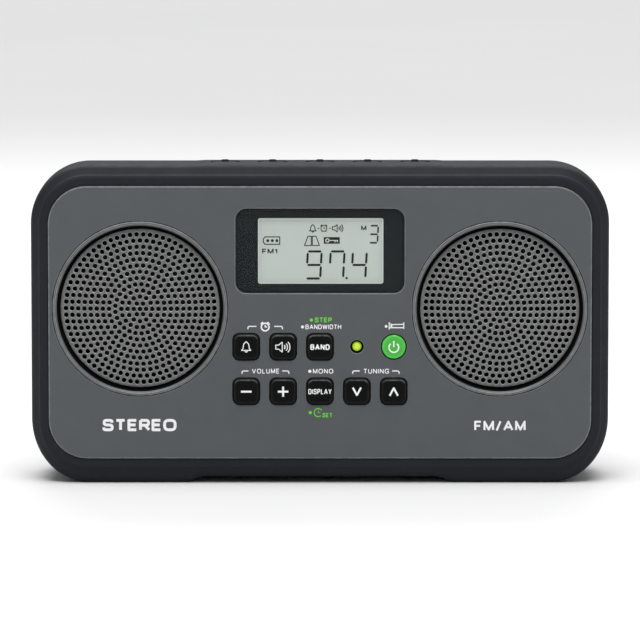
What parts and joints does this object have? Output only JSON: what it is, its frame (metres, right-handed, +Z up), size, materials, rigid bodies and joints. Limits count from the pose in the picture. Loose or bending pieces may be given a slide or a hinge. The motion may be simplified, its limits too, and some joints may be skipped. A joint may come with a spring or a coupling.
{
  "type": "portable tabletop radio",
  "caption": "Portable stereo tabletop radio in a rubber bumper, with round perforated speakers, a display, front and top keys, a battery bay and a telescopic antenna.",
  "frame": {"origin": "on the surface that the radio stands on, at the middle of its width and depth", "axes": "+X to the listener's right along the width, +Y from the front panel to the back, +Z up"},
  "size_m": [0.264, 0.066, 0.1458],
  "materials": {
    "panel_grey": "fine matt texture, mid grey",
    "rubber": "soft matt rubber, charcoal",
    "grille_grey": "satin paint, grey",
    "case_black": "fine matt texture, charcoal",
    "key_black": "satin, near black",
    "key_green": "satin, bright green",
    "lens_green": "glossy translucent, yellow-green",
    "window_clear": "polished clear acrylic",
    "mask_black": "printed black",
    "lcd_grey": "liquid-crystal panel, pale grey-green",
    "diffuser": "milky white",
    "board_green": "glass-fibre board with solder mask",
    "ferrite": "sintered ferrite",
    "copper": "enamelled copper wire",
    "paper_cone": "pressed paper",
    "steel": "zinc-plated steel",
    "chrome": "bright chrome plate",
    "cell_wrap": "printed metal can"
  },
  "bodies": {
    "cabinet": {"antenna_bushing": "steel", "aux_jack": "case_black", "backlight_diffuser": "diffuser", "battery_cell_1": "cell_wrap", "battery_cell_2": "cell_wrap", "battery_cell_3": "cell_wrap", "battery_cell_4": "cell_wrap", "battery_contact_plate": "steel", "battery_spring_lower": "steel", "battery_spring_upper": "steel", "cabinet_screw_1": "steel", "cabinet_screw_2": "steel", "cabinet_screw_3": "steel", "cabinet_screw_4": "steel", "dc_jack": "case_black", "display_mask": "mask_black", "display_window": "window_clear", "ferrite_coil": "copper", "ferrite_rod": "ferrite", "front_cabinet": "panel_grey", "headphone_jack": "case_black", "indicator_lens": "lens_green", "key_board": "board_green", "lcd_panel": "lcd_grey", "main_board": "board_green", "protective_bumper": "rubber", "rear_cabinet": "case_black", "speaker_bezel_left": "panel_grey", "speaker_bezel_right": "panel_grey", "speaker_cone_left": "paper_cone", "speaker_cone_right": "paper_cone", "speaker_frame_left": "steel", "speaker_frame_right": "steel", "speaker_grille_left": "grille_grey", "speaker_grille_right": "grille_grey", "speaker_magnet_left": "ferrite", "speaker_magnet_right": "ferrite"},
    "alarm_buzzer_key": {"alarm_buzzer_key": "key_black"},
    "alarm_radio_key": {"alarm_radio_key": "key_black"},
    "band_key": {"band_key": "key_black"},
    "volume_down_key": {"volume_down_key": "key_black"},
    "volume_up_key": {"volume_up_key": "key_black"},
    "display_key": {"display_key": "key_black"},
    "tuning_down_key": {"tuning_down_key": "key_black"},
    "tuning_up_key": {"tuning_up_key": "key_black"},
    "power_key": {"power_key": "key_green"},
    "preset_key_1": {"preset_key_1": "rubber"},
    "preset_key_2": {"preset_key_2": "rubber"},
    "preset_key_3": {"preset_key_3": "rubber"},
    "preset_key_4": {"preset_key_4": "rubber"},
    "preset_key_5": {"preset_key_5": "rubber"},
    "battery_door": {"battery_door": "case_black"},
    "battery_latch": {"battery_latch": "case_black"},
    "antenna_swivel": {"antenna_swivel": "chrome", "antenna_hinge_pin": "steel"},
    "antenna_tube_1": {"antenna_tube_1": "chrome"},
    "antenna_tube_2": {"antenna_tube_2": "chrome"},
    "antenna_tube_3": {"antenna_tube_3": "chrome"},
    "antenna_tube_4": {"antenna_tube_4": "chrome", "antenna_tip": "chrome"}
  },
  "joints": [
    {"name": "alarm_buzzer_press", "type": "slide", "parent": "cabinet", "child": "alarm_buzzer_key", "axis": [0, 1, 0], "range_m": [0, 0.0009], "stiffness_N_per_m": 800},
    {"name": "alarm_radio_press", "type": "slide", "parent": "cabinet", "child": "alarm_radio_key", "axis": [0, 1, 0], "range_m": [0, 0.0009], "stiffness_N_per_m": 800},
    {"name": "band_press", "type": "slide", "parent": "cabinet", "child": "band_key", "axis": [0, 1, 0], "range_m": [0, 0.0009], "stiffness_N_per_m": 800},
    {"name": "volume_down_press", "type": "slide", "parent": "cabinet", "child": "volume_down_key", "axis": [0, 1, 0], "range_m": [0, 0.0009], "stiffness_N_per_m": 800},
    {"name": "volume_up_press", "type": "slide", "parent": "cabinet", "child": "volume_up_key", "axis": [0, 1, 0], "range_m": [0, 0.0009], "stiffness_N_per_m": 800},
    {"name": "display_press", "type": "slide", "parent": "cabinet", "child": "display_key", "axis": [0, 1, 0], "range_m": [0, 0.0009], "stiffness_N_per_m": 800},
    {"name": "tuning_down_press", "type": "slide", "parent": "cabinet", "child": "tuning_down_key", "axis": [0, 1, 0], "range_m": [0, 0.0009], "stiffness_N_per_m": 800},
    {"name": "tuning_up_press", "type": "slide", "parent": "cabinet", "child": "tuning_up_key", "axis": [0, 1, 0], "range_m": [0, 0.0009], "stiffness_N_per_m": 800},
    {"name": "power_press", "type": "slide", "parent": "cabinet", "child": "power_key", "axis": [0, 1, 0], "range_m": [0, 0.0009], "stiffness_N_per_m": 800},
    {"name": "preset_press_1", "type": "slide", "parent": "cabinet", "child": "preset_key_1", "axis": [0, 0, -1], "range_m": [0, 0.001], "stiffness_N_per_m": 800},
    {"name": "preset_press_2", "type": "slide", "parent": "cabinet", "child": "preset_key_2", "axis": [0, 0, -1], "range_m": [0, 0.001], "stiffness_N_per_m": 800},
    {"name": "preset_press_3", "type": "slide", "parent": "cabinet", "child": "preset_key_3", "axis": [0, 0, -1], "range_m": [0, 0.001], "stiffness_N_per_m": 800},
    {"name": "preset_press_4", "type": "slide", "parent": "cabinet", "child": "preset_key_4", "axis": [0, 0, -1], "range_m": [0, 0.001], "stiffness_N_per_m": 800},
    {"name": "preset_press_5", "type": "slide", "parent": "cabinet", "child": "preset_key_5", "axis": [0, 0, -1], "range_m": [0, 0.001], "stiffness_N_per_m": 800},
    {"name": "battery_door_hinge", "type": "hinge", "parent": "cabinet", "child": "battery_door", "pos_m": [0, 0.0309, 0.0171], "axis": [-1, 0, 0], "range_deg": [0, 95]},
    {"name": "battery_latch_slide", "type": "slide", "parent": "battery_door", "child": "battery_latch", "axis": [0, 0, -1], "range_m": [0, 0.003], "stiffness_N_per_m": 250},
    {"name": "antenna_swivel_turn", "type": "hinge", "parent": "cabinet", "child": "antenna_swivel", "pos_m": [0.106, 0.024, 0.133], "axis": [0, 0, -1], "range_deg": [0, 180]},
    {"name": "antenna_tilt", "type": "hinge", "parent": "antenna_swivel", "child": "antenna_tube_1", "pos_m": [0.106, 0.024, 0.138], "axis": [0, 1, 0], "range_deg": [0, 90]},
    {"name": "antenna_extend_1", "type": "slide", "parent": "antenna_tube_1", "child": "antenna_tube_2", "axis": [-1, 0, 0], "range_m": [0, 0.14]},
    {"name": "antenna_extend_2", "type": "slide", "parent": "antenna_tube_2", "child": "antenna_tube_3", "axis": [-1, 0, 0], "range_m": [0, 0.14]},
    {"name": "antenna_extend_3", "type": "slide", "parent": "antenna_tube_3", "child": "antenna_tube_4", "axis": [-1, 0, 0], "range_m": [0, 0.14]}
  ]
}
